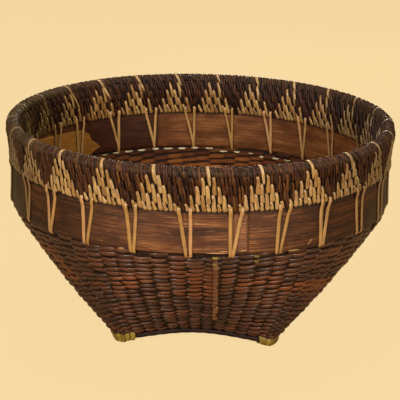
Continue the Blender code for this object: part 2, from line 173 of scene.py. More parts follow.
# Dyed cane: nearly black, with brown showing where the dye has rubbed off along the fibres
def darkStitchCane():
    material, tree = startMaterial("dark_dyed_cane")
    base = addNode(tree, "ShaderNodeValToRGB", [strandPlace(tree)[2]], stops=[
        (0, "#1C0E08"), (0.35, "#2E160E"), (0.6, "#3E2114"), (0.85, "#4A2A18"), (1, "#68421F")])
    # fibres drawn at 0.9 mm so that they show
    grain = fibres(tree, 0.009, 0.0009)
    side = basketPlace(tree)[0]
    # towards the left the dark cane takes an olive tint; towards the right it is painted darker, as painted
    # shade
    rubbedAndShaded = layOver(tree, base, (grain, 0.50, 0.70, 0.65, "#6E4A2A"),
                     (side, -0.13, -0.155, 0.5, "#342C12"), (side, 0.08, 0.14, 0.45, "#20120A"))
    return finishMaterial(material, rubbedAndShaded, grain, (0.5, 0.34), 0.00025, 1.0, {"Specular IOR Level": 0.18})


# The crest's fine wrap has worn to an olive brown, most of all at the left
def crestCane():
    material, tree = startMaterial("worn_crest_cane")
    base = addNode(tree, "ShaderNodeValToRGB", [strandPlace(tree)[2]], stops=[
        (0, "#1A0E08"), (0.45, "#2C1A10"), (0.8, "#3E2816"), (1, "#583C20")])
    grain = fibres(tree, 0.008, 0.0007)
    wearAndSideShade = layOver(tree, base, (basketPlace(tree)[0], -0.105, -0.145, 0.75, "#4E4420"),
                   (grain, 0.45, 0.75, 0.5, "#665230"))
    return finishMaterial(material, wearAndSideShade, grain, (0.4, 0.6), 0.00012, 0.6, {"Specular IOR Level": 0.2})


# Smoked rattan weft: dark brown, rusty where the smoke took less, with a dull gleam on each float
wefts = {
    "smoked_rattan_weft": {
        "tones": [(0, "#241008"), (0.3, "#3C2012"), (0.6, "#532D1A"), (0.85, "#683B22"), (1, "#804E30")],
        "rust": "#84420F", "underHoopShade": 0.0, "roughness": (0.38, 0.56), "specular": 0.30, "coat": 0.30},
    # less smoked and without gleam; the rows just under the inner hoop are painted darker, as painted shade
    # under the hoop
    "unsmoked_inner_weft": {
        "tones": [(0, "#3A1A07"), (0.4, "#5C2E0E"), (0.75, "#764215"), (1, "#9C642E")],
        "rust": "#7E4418", "underHoopShade": 0.7, "roughness": (0.56, 0.74), "specular": 0.12, "coat": 0.0},
}


def smokedWeft(name):
    look = wefts[name]
    material, tree = startMaterial(name)
    base = addNode(tree, "ShaderNodeValToRGB", [strandPlace(tree)[2]], stops=look["tones"])
    side, _, height = basketPlace(tree)
    # the rust comes in patches, in a belt half way up
    above = addNode(tree, "ShaderNodeMapRange", [height, 0.050, 0.072, 0.15, 1.0])
    below = addNode(tree, "ShaderNodeMapRange", [height, 0.080, 0.102, 1.0, 0.1])
    belt = addNode(tree, "ShaderNodeMath", [above, below], operation="MULTIPLY")
    patches = addNode(tree, "ShaderNodeMapRange",
                      [blotches(tree, 0.030, 3.0, (1, 1, 2.2), 3.1), 0.46, 0.60, 0.0, 1.0])
    rusty = addNode(tree, "ShaderNodeMath", [belt, patches], operation="MULTIPLY")
    grain = fibres(tree, 0.010, 0.0008)
    # the weft is painted darker towards the basket's left and right sides, as painted shade
    apart = addNode(tree, "ShaderNodeMath", [side], operation="ABSOLUTE")
    # inside, the rows just under the inner hoop are painted darker too, as painted shade
    agedAndShaded = layOver(tree, base, (rusty, 0.0, 1.0, 0.8, look["rust"]), (grain, 0.4, 0.7, 0.5, "#26150C"),
                   (apart, 0.085, 0.15, 0.6, "#2C1E0C"), (height, 0.099, 0.107, look["underHoopShade"], "#260F07"))
    return finishMaterial(material, agedAndShaded, grain, look["roughness"], 0.00015, 0.6, {
        "Specular IOR Level": look["specular"], "Coat Weight": look["coat"], "Coat Roughness": 0.28})


# The stakes behind the weft are painted nearly black and dull, as painted shade of the gaps between the
# floats, and mottled with dust
def shadedStakes():
    material, tree = startMaterial("dusty_painted_shade_stakes")
    mottled = blotches(tree, 0.004)
    dustAndShade = layOver(tree, "#170B06", (mottled, 0.35, 0.7, 1.0, "#28150B"))
    return finishMaterial(material, dustAndShade, mottled, (0.75, 0.75), 0.0002, 0.5, {"Specular IOR Level": 0.2})


# The border cane is black with handling and dull underneath
def borderCane():
    material, tree = startMaterial("grimy_border_cane")
    grain = fibres(tree, 0.012, 0.0009)
    grimeAndShade = layOver(tree, "#180C07", (grain, 0.35, 0.7, 1.0, "#36211A"))
    return finishMaterial(material, grimeAndShade, grain, (0.55, 0.75), 0.0002, 0.8, {"Specular IOR Level": 0.2})


# Split and scraped palm wood: long fibres round the hoop, with a low polish
hoopWoods = {
    "scraped_red_brown_hoop": {
        "streaks": [(0.34, "#22100A"), (0.43, "#462819"), (0.50, "#623A22"), (0.56, "#7A4A28"),
                    (0.64, "#A87850")],
        "pale": "#A07A58", "deep": "#40241A", "deepShare": 0.75, "marked": "#966648", "markShare": 0.05,
        "sideShade": 0.95, "shadeFrom": 0.1422},
    "scraped_mid_brown_hoop": {
        "streaks": [(0.32, "#442412"), (0.44, "#663A1C"), (0.54, "#784822"), (0.66, "#94653A")],
        "pale": "#946840", "deep": "#4E280C", "deepShare": 0.8, "marked": "#2A0A02", "markShare": 0.6,
        "sideShade": 0.05, "shadeFrom": 0.1408},
    "scraped_golden_tongue": {
        "streaks": [(0.3, "#7A4E1A"), (0.5, "#8E5E20"), (0.7, "#A4742E")],
        "pale": "#B08848", "deep": "#704616", "deepShare": 0.6, "marked": "#784A18", "markShare": 0.5,
        "sideShade": 0.0, "shadeFrom": 0.1500},
}


def hoopWood(name):
    look = hoopWoods[name]
    material, tree = startMaterial(name)
    # fibre bundles about 0.5 mm wide, drawn near 1.2 mm
    fine = fibres(tree, 0.05, 0.0012, 3.0)
    broad = fibres(tree, 0.10, 0.007)
    flecks = fibres(tree, 0.010, 0.0008)
    blend = addNode(tree, "ShaderNodeMix", {0: 0.4, 2: fine, 3: broad}, data_type="FLOAT")
    base = addNode(tree, "ShaderNodeValToRGB", [blend], stops=look["streaks"])
    patches = blotches(tree, 0.022, 3.0, (1, 1, 2), 1.7)
    shaded = layOver(tree, base, (flecks, 0.56, 0.72, 0.55, look["pale"]),
                     (flecks, 0.44, 0.30, 0.6, look["deep"]),
                     (patches, 0.42, 0.62, look["deepShare"], look["deep"]))
    # the tone marks where this stretch of the hoop differs, such as a stain or the scarf
    _, height, tone = strandPlace(tree)
    ragged = addNode(tree, "ShaderNodeMapRange", [fine, 0.4, 0.6, look["markShare"], 1.0])
    marked = addNode(tree, "ShaderNodeMath", [tone, ragged], operation="MULTIPLY")
    stretch = layOver(tree, shaded, (marked, 0.0, 1.0, 1.0, look["marked"]))
    # the hoop is painted darker towards the basket's left and right sides, as painted shade
    apart = addNode(tree, "ShaderNodeMath", [basketPlace(tree)[0]], operation="ABSOLUTE")
    sideShadeShare = addNode(tree, "ShaderNodeMapRange", [apart, 0.035, 0.10, 0.0, look["sideShade"]])
    sideShaded = addNode(tree, "ShaderNodeMix", {0: sideShadeShare, 6: stretch, 7: "#A08A66"}, 2,
                      data_type="RGBA", blend_type="MULTIPLY")
    # painted shadow: the hoop is darkened just under the stitches' lower edge; at the far left and right it
    # gets painted shade with an olive tint
    grimeAndShade = layOver(tree, sideShaded, (apart, 0.125, 0.145, 0.6 * look["sideShade"], "#221E0E"),
                    (height, look["shadeFrom"], look["shadeFrom"] + 0.0018, 0.85, "#1A0C06"))
    return finishMaterial(material, grimeAndShade, fine, (0.42, 0.62), 0.0003, 0.9, {"Specular IOR Level": 0.3},
                          between=(0.3, 0.7))


# Plaited palm splint of the floor, matt and dusty
def plaitedSplint():
    material, tree = startMaterial("plaited_floor_splint")
    base = addNode(tree, "ShaderNodeValToRGB", [strandPlace(tree)[2]], stops=[
        (0, "#3A2416"), (0.5, "#523520"), (1, "#6E4A2C")])
    grain = fibres(tree, 0.02, 0.0009)
    streaked = layOver(tree, base, (grain, 0.35, 0.8, 0.5, "#24160D"))
    return finishMaterial(material, streaked, grain, (0.5, 0.7), 0.0002, 0.6, {})


# Round rod cane inside the rim, unfinished
def rodCane():
    material, tree = startMaterial("unfinished_rod_cane")
    grain = blotches(tree, 0.003, 3.0)
    mottled = layOver(tree, "#3A2818", (grain, 0.3, 0.7, 1.0, "#5A4028"))
    return finishMaterial(material, mottled, grain, (0.65, 0.65), 0.0002, 0.4, {})


def skin(name, points, strand, material, loopAlong=False):
    # points: strands, sections, ring, xyz. Quads round each strand, and quads over its ends
    count, sections, ring = points.shape[:3]
    index = np.arange(count * sections * ring).reshape(count, sections, ring)
    here = index if loopAlong else index[:, :-1]
    after = np.roll(index, -1, 1) if loopAlong else index[:, 1:]
    quads = [np.stack([here, np.roll(here, -1, 2), np.roll(after, -1, 2), after], -1).reshape(-1, 4)]
    if not loopAlong:
        for end, turned in ((index[:, 0], True), (index[:, -1], False)):
            for low in range(ring // 2 - 1):
                corners = [low, low + 1, ring - 2 - low, ring - 1 - low]
                cap = end[:, corners[::-1] if turned else corners]
                quads.append(cap.reshape(-1, 4))
    quads = np.concatenate(quads)
    mesh = bpy.data.meshes.new(name)
    mesh.vertices.add(index.size)
    mesh.vertices.foreach_set("co", points.reshape(-1).astype(np.float32))
    mesh.loops.add(quads.size)
    mesh.loops.foreach_set("vertex_index", quads.reshape(-1).astype(np.int32))
    mesh.polygons.add(len(quads))
    mesh.polygons.foreach_set("loop_start", np.arange(0, quads.size, 4, dtype=np.int32))
    mesh.update(calc_edges=True)
    mesh.shade_smooth()
    place = mesh.attributes.new("strand", "FLOAT_VECTOR", "POINT")
    place.data.foreach_set("vector", strand.reshape(-1).astype(np.float32))
    mesh.materials.append(material)
    piece = bpy.data.objects.new(name, mesh)
    bpy.context.scene.collection.objects.link(piece)
    return piece


def unit(vectors):
    return vectors / np.linalg.norm(vectors, axis=-1, keepdims=True)


def layStrands(name, centres, outs, widths, depths, tones, material, sides=8, corner=0.7, loop=False):
    # a flat oval strand along each run of centres, its flat side turned outwards
    count, sections = centres.shape[:2]
    widths = np.broadcast_to(widths, (count, sections))
    depths = np.broadcast_to(depths, (count, sections))
    tones = np.broadcast_to(tones, (count,))
    along = np.roll(centres, -1, 1) - np.roll(centres, 1, 1) if loop else np.gradient(centres, axis=1)
    along = unit(along)
    across = unit(np.cross(outs, along))
    up = np.cross(along, across)
    lean = 2 * pi * (np.arange(sides) + 0.5) / sides
    sideways = np.sign(np.cos(lean)) * np.abs(np.cos(lean)) ** corner
    upward = np.sign(np.sin(lean)) * np.abs(np.sin(lean)) ** corner
    points = centres[:, :, None] + across[:, :, None] * (widths[..., None] / 2 * sideways)[..., None]
    points = points + up[:, :, None] * (depths[..., None] / 2 * upward)[..., None]
    steps = np.linalg.norm(np.diff(centres, axis=1), axis=-1)
    lengths = np.concatenate([np.zeros((count, 1)), np.cumsum(steps, 1)], 1)
    lengths = lengths + np.arange(count)[:, None] * 0.0137 % 1.0
    strand = np.zeros(points.shape)
    strand[..., 0] = lengths[:, :, None]
    strand[..., 1] = widths[..., None] / 2 * sideways
    strand[..., 2] = tones[:, None, None]
    return skin(name, points, strand, material, loop)


def dress(piece, slotName, *nodes):
    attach(piece, "root")
    if nodes:
        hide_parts(*nodes)
    return piece


def polar(radius, angle, height):
    radius, angle, height = np.broadcast_arrays(radius, angle, height)
    return np.stack([radius * np.sin(angle), -radius * np.cos(angle), height], -1)


def smoothPath(corners, count):
    # a soft curve through the corners, evenly spaced
    corners = np.array(corners, float)
    padded = np.concatenate([2 * corners[:1] - corners[1:2], corners, 2 * corners[-1:] - corners[-2:-1]])
    rows = []
    for i in range(len(corners) - 1):
        a, b, c, d = padded[i:i + 4]
        t = np.linspace(0, 1, 24, endpoint=False)[:, None]
        rows.append(0.5 * (2 * b + (c - a) * t + (2 * a - 5 * b + 4 * c - d) * t ** 2
                           + (3 * b - a - 3 * c + d) * t ** 3))
    fine = np.concatenate(rows + [corners[-1:]])
    reach = np.concatenate([[0], np.cumsum(np.linalg.norm(np.diff(fine, axis=0), axis=1))])
    wanted = np.linspace(0, reach[-1], count)
    return np.stack([np.interp(wanted, reach, fine[:, k]) for k in range(fine.shape[1])], -1)


def sidePlace(turn):
    quarter = np.floor(4 * turn + 0.5)
    return quarter, 4 * turn - quarter


def footOutline(turn, half):
    # rounded square, with a third of each side's stakes fanned round its corners
    quarter, place = sidePlace(turn)
    corner = max(basket["footCorner"] - (basket["footHalf"] - half), 0)
    straight = half - corner
    lean = np.clip((np.abs(place) - 1 / 3) / (1 / 6), 0, 1) * pi / 4
    x = np.where(np.abs(place) <= 1 / 3, place * 3 * straight,
                 (straight + corner * np.sin(lean)) * np.sign(place))
    y = -straight - corner * np.cos(lean)
    turned = quarter * pi / 2
    return np.stack([x * np.cos(turned) - y * np.sin(turned), x * np.sin(turned) + y * np.cos(turned)], -1)


def borderHeight(turn):
    return basket["borderMiddle"] + basket["archHeight"] * np.cos(pi * sidePlace(turn)[1]) ** 2


def borderTop(turn):
    return borderHeight(turn) + basket["borderRadius"] + basket["overBorder"]


def outerHoopFace(height):
    return basket["outerHoopRadius"] - basket["outerHoopLean"] * (height - basket["outerHoopBottom"])


def innerHoopFace(height):
    return basket["innerHoopRadius"] - basket["innerHoopLean"] * (height - basket["innerHoopBottom"])


def wallPoint(turn, share, stand):
    # outer face of the woven wall: share is 0 at the foot and 1 at the shoulder, stand is how far out of it
    turn, share = np.broadcast_arrays(turn, share)
    low = footOutline(turn, basket["footHalf"])
    high = polar(basket["shoulderRadius"], 2 * pi * turn, 0.0)[..., :2]
    held = np.minimum(share, 1)
    swell = (held + 4 * basket["bulge"] * held * (1 - held))[..., None]
    flat = low + (high - low) * swell
    foot = borderTop(turn)
    point = np.concatenate([flat, (foot + (basket["shoulder"] - foot) * share)[..., None]], -1)
    return point if stand is None else point + wallOut(turn, share) * np.asarray(stand)[..., None]


def wallOut(turn, share):
    turnStep, shareStep = 0.0008, 0.01
    around = wallPoint(turn + turnStep, share, None) - wallPoint(turn - turnStep, share, None)
    up = wallPoint(turn, share + shareStep, None) - wallPoint(turn, share - shareStep, None)
    return unit(np.cross(around, up))


weave = {
    "rows": 21, "rowsToShoulder": 20.15, "wallDepth": 0.0027,
    # one float outside and inside: its width, depth, and how deep its ends dive, in metres
    "outer": (0.0042, 0.0023, -0.0012), "inner": (0.0048, 0.0021, -0.0004), "stand": 0.0008,
    # lengths, slants and unevenness in stakes and rows
    "overlap": 1.14, "slant": 0.10, "smile": 0.07, "stagger": 0.20, "cornerRelief": 0.25,
    "unevenColumn": 0.10, "unevenRow": 0.06, "underLashing": 0.4, "nearLashing": 0.0045,
    "lengthSpread": (0.9, 1.12), "widthSpread": (0.86, 1.08), "endTaper": 0.45,
}


def weftFloats(name, inside, material):
    # one float per stake and row; its ends dive between the stakes, a little higher than its middle
    stakes, rows = basket["stakes"], weave["rows"] - inside
    stake = np.repeat(np.arange(stakes), rows)
    row = np.tile(np.arange(rows), stakes)
    lowered = np.zeros(len(stake))
    if not inside:
        # the top row bends down where the lashings come in over it
        legs = np.concatenate([lashingPlaces(index) for index in range(basket["repeats"])])
        apart = np.abs((stake[:, None] / stakes - legs[None] / (2 * pi) + 0.5) % 1 - 0.5).min(1)
        lowered = weave["underLashing"] * ((row == rows - 1) & (apart < weave["nearLashing"]))
    count = len(stake)
    stagger = weave["stagger"] * (1 - 2 * (np.arange(stakes) % 2))
    stagger = stagger + rng.normal(0, weave["unevenColumn"], stakes)
    f = np.array([-0.5, -0.4, -0.22, 0, 0.22, 0.4, 0.5])
    reach = weave["overlap"] * rng.uniform(*weave["lengthSpread"], (count, 1))
    turn = (stake[:, None] + f * reach + rng.normal(0, 0.05, (count, 1))) / stakes
    side = -1 if inside else 1
    lift = rng.normal(0, weave["unevenRow"], count) + 0.12 * np.sin(row * 0.55 + stake)
    share = np.maximum(row + 0.5 + stagger[stake] + lift - lowered, 0.5)[:, None]
    # the floats stand out most in the middle of each side
    relief = np.interp(np.abs(sidePlace(stake / stakes)[1]), [0.2, 0.42], [1, weave["cornerRelief"]])
    relief = relief[:, None]
    share = share + side * weave["slant"] * relief * f * 2 + weave["smile"] * relief * (2 * f) ** 2
    share = share / weave["rowsToShoulder"]
    bow = np.cos(f * pi) ** 0.7
    width, depth, dive = weave["inner" if inside else "outer"]
    dive = dive * relief
    stand = dive + (weave["stand"] - dive) * bow[None, :] + rng.normal(0, 0.0002, (count, 1))
    stand = stand * side - (weave["wallDepth"] if inside else 0)
    centres = wallPoint(turn, share, np.broadcast_to(stand, turn.shape))
    outs = wallOut(turn, share) * side
    widths = width * (1 - weave["endTaper"] * relief * (1 - bow[None, :]))
    widths = widths * rng.uniform(*weave["widthSpread"], (count, 1)) * (1 - 0.5 * lowered[:, None])
    columnTone = rng.uniform(0.1, 0.6, stakes)[stake]
    tones = np.clip(0.6 * columnTone + 0.6 * rng.uniform(0, 0.9, count), 0, 1)
    return layStrands(name, centres, outs, widths, depth, tones, material, corner=1.0)


dashes = {
    "width": 0.0020, "depth": 0.0012, "height": 0.1079, "radius": 0.1504, "bow": 0.0014,
    # the row steps down before these degrees at the back, by metres, and comes inwards by a share of that
    "steps": [(160, 0.0034), (173, 0.0018)], "inward": 0.42,
    "lengthSpread": (0.45, 0.72), "widthSpread": (0.7, 1.05),
}


def paleWeftRow():
    # a last row of pale splint under the inner hoop, which steps down towards the right of the back
    stakes = basket["stakes"]
    f = np.linspace(-0.5, 0.5, 9)
    place = np.arange(stakes) + 0.5
    around = place * 360 / stakes
    drop = np.zeros(stakes)
    for degrees, step in dashes["steps"]:
        drop = np.where((around < degrees) & (drop == 0) & (around > 90), step, drop)
    length = rng.uniform(*dashes["lengthSpread"], (stakes, 1))
    turn = (place[:, None] + f * length + rng.normal(0, 0.05, (stakes, 1))) / stakes
    bow = np.cos(f * pi) ** 0.7
    height = dashes["height"] - drop[:, None] + rng.normal(0, 0.0002, (stakes, 1)) + 0 * f
    radius = dashes["radius"] - dashes["bow"] * bow - dashes["inward"] * drop[:, None]
    centres = polar(radius, 2 * pi * turn, height)
    outs = unit(polar(-1.0, 2 * pi * turn, 0.35 + 0 * turn))
    widths = dashes["width"] * (0.55 + 0.45 * bow) * rng.uniform(*dashes["widthSpread"], (stakes, 1))
    return layStrands("pale_weft_row", centres, outs, widths, dashes["depth"], rng.uniform(0, 1, stakes),
                      splitCane("pale_olive_splint"))


# rows that the tan stake crosses, and turns round the basket at its foot, middle and top
loneStake = {"rows": (4, 20), "turns": [0.0236, 0.0188, 0.0152], "width": 0.0046, "depth": 0.0016}
# share up the wall and turn of each tie's middle
ties = {"middles": [(0.967, 0.0156), (1.018, 0.0156), (0.985, 0.0474), (1.02, 0.0474)], "half": 0.0017,
        "width": 0.0024, "depth": 0.0020, "tones": [0.3, 0.5, 0.0, 0.1]}


def tanStake():
    # the one stake that the weft passes behind, right of the middle of the front
    rows = np.arange(*loneStake["rows"])
    f = np.linspace(-0.5, 0.5, 7)
    bow = np.cos(f * pi)
    share = (rows[:, None] + 0.5 + 1.1 * f + rng.normal(0, 0.1, (len(rows), 1))) / weave["rowsToShoulder"]
    turn = np.interp(share, [0, 0.5, 1], loneStake["turns"]) + rng.normal(0, 0.0004, (len(rows), 1))
    centres = wallPoint(turn, share, 0.0002 + 0.0018 * bow + 0 * share)
    outs = wallOut(turn, share)
    widths = loneStake["width"] * (0.75 + 0.25 * bow) * rng.uniform(0.8, 1.15, (len(rows), 1))
    return layStrands("tan_stake", centres, outs, widths, loneStake["depth"], rng.uniform(0, 1, len(rows)),
                      splitCane("tan_stake_cane"), corner=1.0)


def stakeTies():
    # two small yellow-green ties over the top of that stake, and two duller ones further right
    centres, outs = [], []
    for share, middle in ties["middles"]:
        across = np.linspace(-1, 1, 9)
        turn = middle + ties["half"] * across
        stand = 0.0021 - 0.0012 * np.abs(across) ** 3
        centres.append(wallPoint(turn, np.full(9, share), stand))
        outs.append(wallOut(turn, np.full(9, share)))
    return layStrands("stake_ties", np.array(centres), np.array(outs), ties["width"], ties["depth"],
                      ties["tones"], splitCane("yellow_green_splint"), corner=1.0)


def coatNode(name, material):
    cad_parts[name].data.materials.clear()
    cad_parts[name].data.materials.append(material)


def wovenWall():
    coatNode("woven_wall", shadedStakes())
    dress(weftFloats("weft_outside", False, smokedWeft("smoked_rattan_weft")), "weathered_rattan")
    dress(weftFloats("weft_inside", True, smokedWeft("unsmoked_inner_weft")), "weathered_rattan")
    dress(paleWeftRow(), "pale_cane")
    dress(tanStake(), "weathered_rattan")
    dress(stakeTies(), "yellow_green_splint")
    print("woven wall laid:", basket["stakes"], "stakes,", weave["rows"], "rows")


border = {"sections": 288, "thick": 2.1, "ripple": 0.05}


def footBorder():
    # the cane swells a little at each stake
    turn = np.arange(border["sections"]) / border["sections"]
    centre = footOutline(turn, basket["borderHalf"])
    centres = np.concatenate([centre, borderHeight(turn)[:, None]], 1)[None]
    outward = footOutline(turn, 0.07) - footOutline(turn, 0.02)
    outs = unit(np.concatenate([outward, 0 * turn[:, None]], 1))[None]
    swell = 1 + border["ripple"] * np.sin(turn * 2 * pi * basket["stakes"])
    thick = border["thick"] * basket["borderRadius"] * swell
    piece = layStrands("border_cane", centres, outs, thick[None], thick[None], 0.15,
                       borderCane(), sides=12, corner=1.0, loop=True)
    dress(piece, "dark_border_cane", "base_border")
    print("border laid round the foot")


mat = {
    "splints": 18, "width": 0.0073, "depth": 0.0007, "rise": 0.0007, "edge": 0.0643, "dome": 0.004,
    "overBorder": 0.0012, "inset": 0.0008,
    # the splints within this strip of the edge end earlier, because the foot's corners are round
    "cornerStrip": 0.008, "cornerInset": 0.0035,
}


def matHeight(x, y):
    # the floor follows the arched edge and domes up in the middle
    angle = np.arctan2(x, -y)
    turn = angle / (2 * pi)
    reach = np.hypot(x, y)
    share = np.clip(reach / np.linalg.norm(footOutline(turn, mat["edge"]), axis=-1), 0, 1)
    edge, centre = borderTop(turn), borderTop(np.zeros(1))
    return centre + (edge - centre) * share ** 2 + mat["dome"] * (1 - share ** 2) + mat["overBorder"]


def plaitedFloor():
    pitch = 2 * mat["edge"] / mat["splints"]
    places = (np.arange(mat["splints"]) + 0.5) * pitch - mat["edge"]
    centres = []
    for way in (0, 1):
        for i, place in enumerate(places):
            t = np.linspace(-1, 1, 4 * mat["splints"] + 1) * (mat["edge"] - mat["inset"])
            end = mat["edge"] - mat["cornerInset"] * (abs(place) > mat["edge"] - mat["cornerStrip"])
            t = t * end / mat["edge"]
            wave = np.cos(((t + mat["edge"]) / pitch + (i if way == 0 else i + 2) - 0.5) * pi / 2)
            wave = np.clip(wave * 1.6, -1, 1)
            x, y = (t, np.full_like(t, place)) if way == 0 else (np.full_like(t, place), t)
            centres.append(np.stack([x, y, matHeight(x, y) + mat["rise"] * wave], -1))
    centres = np.array(centres)
    outs = np.broadcast_to(np.array([0, 0, 1.0]), centres.shape)
    piece = layStrands("plaited_floor", centres, outs, mat["width"], mat["depth"],
                       rng.uniform(0, 1, len(centres)), plaitedSplint())
    dress(piece, "plaited_splint", "base_mat")
    print("floor plaited:", len(centres), "splints")


def hoopRing(angle, low, high, near, far, seat, side):
    # the cut through a hoop with softened edges, going round from its lower seat corner
    cut = [(share, 1.0 if 0 < share < 1 else 0.72) for share in (0.0, 0.04, 0.25, 0.5, 0.75, 0.96, 1.0)]
    cut += [(share, 0.0 if 0 < share < 1 else 0.28) for share in (1.0, 0.96, 0.5, 0.04, 0.0)]
    rings = []
    for share, out in cut:
        height = low + (high - low) * share
        depth = near + (far - near) * out
        ripple = hoops["ripple"] * np.sin(angle * 23 + share * 9) * (out > 0.5)
        rings.append(polar(seat(height) + side * (depth + ripple), angle, height))
    return np.stack(rings, 1), np.array([share for share, _ in cut])


def hoopStrand(points, angle, low, high, shares, tone, outer=False):
    strand = np.zeros(points.shape)
    strand[..., 0] = (angle * hoops["grainRadius"])[:, None]
    strand[..., 1] = low[:, None] + (high - low)[:, None] * shares[None]
    fading = np.clip((strand[..., 1] - hoops["markFrom"]) / hoops["markFade"], 0, 1)
    strand[..., 2] = np.broadcast_to(tone, angle.shape)[:, None] * (fading if outer else 1)
    return strand


def hoopPiece(name, angle, low, high, near, far, seat, side, tone, material):
    points, shares = hoopRing(angle, low, high, near, far, seat, side)
    if side > 0:
        points, shares = points[:, ::-1], shares[::-1]
    strand = hoopStrand(points, angle, low, high, shares, tone, side > 0)
    return skin(name, points[None], strand[None], material)


hoops = {
    "outerThick": 0.0019, "innerThick": 0.0018, "ripple": 0.00012, "grainRadius": 0.155,
    # where the outer hoop's upper end lies, and how far its ends overlap, in degrees
    "endDegrees": 14.4, "overlap": 24,
    # thickness from tip to root where the lower end lies under, and seat where the upper one lies over
    "scarfUnder": [0.0006, 0.0010], "scarfOver": [0.0009, 0.0013], "underRise": 0.0004,
    "gap": 0.02, "gapThick": 0.0013,
    # how the lower edge of the outer hoop wanders, in degrees and millimetres
    "edgeDegrees": [-75, -58, -45, -37, -31, -22, -18, -8, 3, 11, 19, 30, 36, 43, 51, 58, 75],
    "edgeWander": [0, -1.0, -0.8, 0.1, -0.4, 0.5, 0.3, 1.1, 1.6, 0.5, -0.3, -1.1, -0.9, -0.8, 0.2, -1.3, 0],
    # where the outer hoop shows its pale scarf
    "scarfDegrees": [10.2, 10.8, 13.9, 14.3], "scarfTone": [0, 1, 1, 0],
    "markFrom": 0.118, "markFade": 0.004,
    # where the inner hoop is stained dark
    "stainDegrees": [194, 196, 196.6, 222, 232, 262], "stainTone": [0, 0.1, 0.95, 1, 0.7, 0],
    # lower and upper edge of the tongue from its tip, in degrees and metres
    "lowDegrees": [219.4, 221, 223.4, 226, 265.4], "low": [0.1163, 0.1146, 0.1107, 0.1098, 0.1098],
    "highDegrees": [219.4, 220.3, 221.5, 223, 224.2, 227.1, 228.6, 236, 240.4, 253.4, 265.4],
    "high": [0.1174, 0.1196, 0.1218, 0.1245, 0.1309, 0.1352, 0.1361, 0.1372, 0.1382, 0.1414, 0.1425],
}


def outerHoop():
    # its scarfed ends overlap to the right of the middle; the upper end comes from the left
    count = 520
    start, end = radians(hoops["endDegrees"] - hoops["overlap"]), radians(hoops["endDegrees"])
    angle = np.linspace(start, end + 2 * pi, count)
    near, far = np.zeros(count), np.full(count, hoops["outerThick"])
    first, last = angle <= end, angle >= start + 2 * pi
    far[first] = np.interp(angle[first], [start, end], hoops["scarfUnder"])
    near[last] = np.interp(angle[last], [start + 2 * pi, end + 2 * pi], hoops["scarfOver"])
    gap = (angle > end) & (angle < end + hoops["gap"])
    far[gap] = hoops["gapThick"]
    degrees = (np.degrees(angle) + 180) % 360 - 180
    low = basket["outerHoopBottom"] + np.interp(degrees, hoops["edgeDegrees"], hoops["edgeWander"]) * 0.001
    low[first] += hoops["underRise"]
    high = np.full(count, basket["hoopsTop"])
    tone = np.interp(degrees, hoops["scarfDegrees"], hoops["scarfTone"])
    piece = hoopPiece("outer_hoop_wood", angle, low, high, near, far,
                      lambda height: outerHoopFace(height) - hoops["outerThick"], 1, tone,
                      hoopWood("scraped_red_brown_hoop"))
    dress(piece, "red_brown_wood", "outer_hoop")


slivers = {
    # first and last degrees, first and last height, width and tone of each
    "runs": [(3.2, 8.9, 0.1139, 0.1137, 0.0010, 0.8), (6.6, 9.0, 0.1149, 0.1150, 0.0007, 0.5),
             (12.2, 14.2, 0.1151, 0.1151, 0.0008, 0.6), (-21.4, -19.4, 0.1124, 0.1128, 0.0018, 0.1),
             (32.3, 33.9, 0.1140, 0.1178, 0.0009, 0.2), (26.2, 29.6, 0.1116, 0.1114, 0.0010, 0.3)],
    "depth": 0.0005, "stand": 0.00005,
}


def hoopSlivers():
    # pale wood that shows where the hoop's lower edge and two splits have opened
    centres, outs, widths = [], [], []
    for first, last, low, high, width, _ in slivers["runs"]:
        angle = np.radians(np.linspace(first, last, 12))
        height = np.linspace(low, high, 12)
        centres.append(polar(outerHoopFace(height) + slivers["stand"], angle, height))
        outs.append(polar(1.0, angle, 0 * angle))
        widths.append(width * np.sin(np.linspace(0.25, pi - 0.25, 12)))
    tones = [run[-1] for run in slivers["runs"]]
    piece = layStrands("hoop_slivers", np.array(centres), np.array(outs), np.array(widths),
                       slivers["depth"], tones, splitCane("lashing_split_cane"))
    dress(piece, "red_brown_wood")


tongue = {"tip": radians(219.4), "span": radians(46), "proud": 0.0011, "under": 0.0003, "tone": 0.2}


def innerHoop():
    count = 480
    angle = np.linspace(0, 2 * pi, count + 1)[:-1] + tongue["tip"] + 0.25
    low = np.full(count, basket["innerHoopBottom"])
    high = np.full(count, basket["hoopsTop"])
    points, shares = hoopRing(angle, low, high, np.zeros(count), np.full(count, hoops["innerThick"]),
                              lambda height: innerHoopFace(height) + hoops["innerThick"], -1)
    tone = np.interp(np.degrees(angle) % 360, hoops["stainDegrees"], hoops["stainTone"])
    strand = hoopStrand(points, angle, low, high, shares, tone)
    wood = hoopWood("scraped_mid_brown_hoop")
    dress(skin("inner_hoop_wood", points[None], strand[None], wood, loopAlong=True),
          "mid_brown_wood", "inner_hoop")
    # the tongue lies on the hoop's face, with a long soft point
    count = 120
    share = np.linspace(0, 1, count) ** 1.8
    reach = tongue["tip"] + tongue["span"] * share
    low = np.interp(np.degrees(reach), hoops["lowDegrees"], hoops["low"])
    high = np.interp(np.degrees(reach), hoops["highDegrees"], hoops["high"])
    near = np.full(count, tongue["under"])
    far = np.interp(share, [0, 0.02, 0.85, 1], [0.0007, tongue["proud"], tongue["proud"], 0.0004])
    piece = hoopPiece("inner_hoop_tongue", reach, low, high, near, far, innerHoopFace, -1, tongue["tone"],
                      hoopWood("scraped_golden_tongue"))
    dress(piece, "mid_brown_wood", "inner_hoop")
    print("hoops bent")


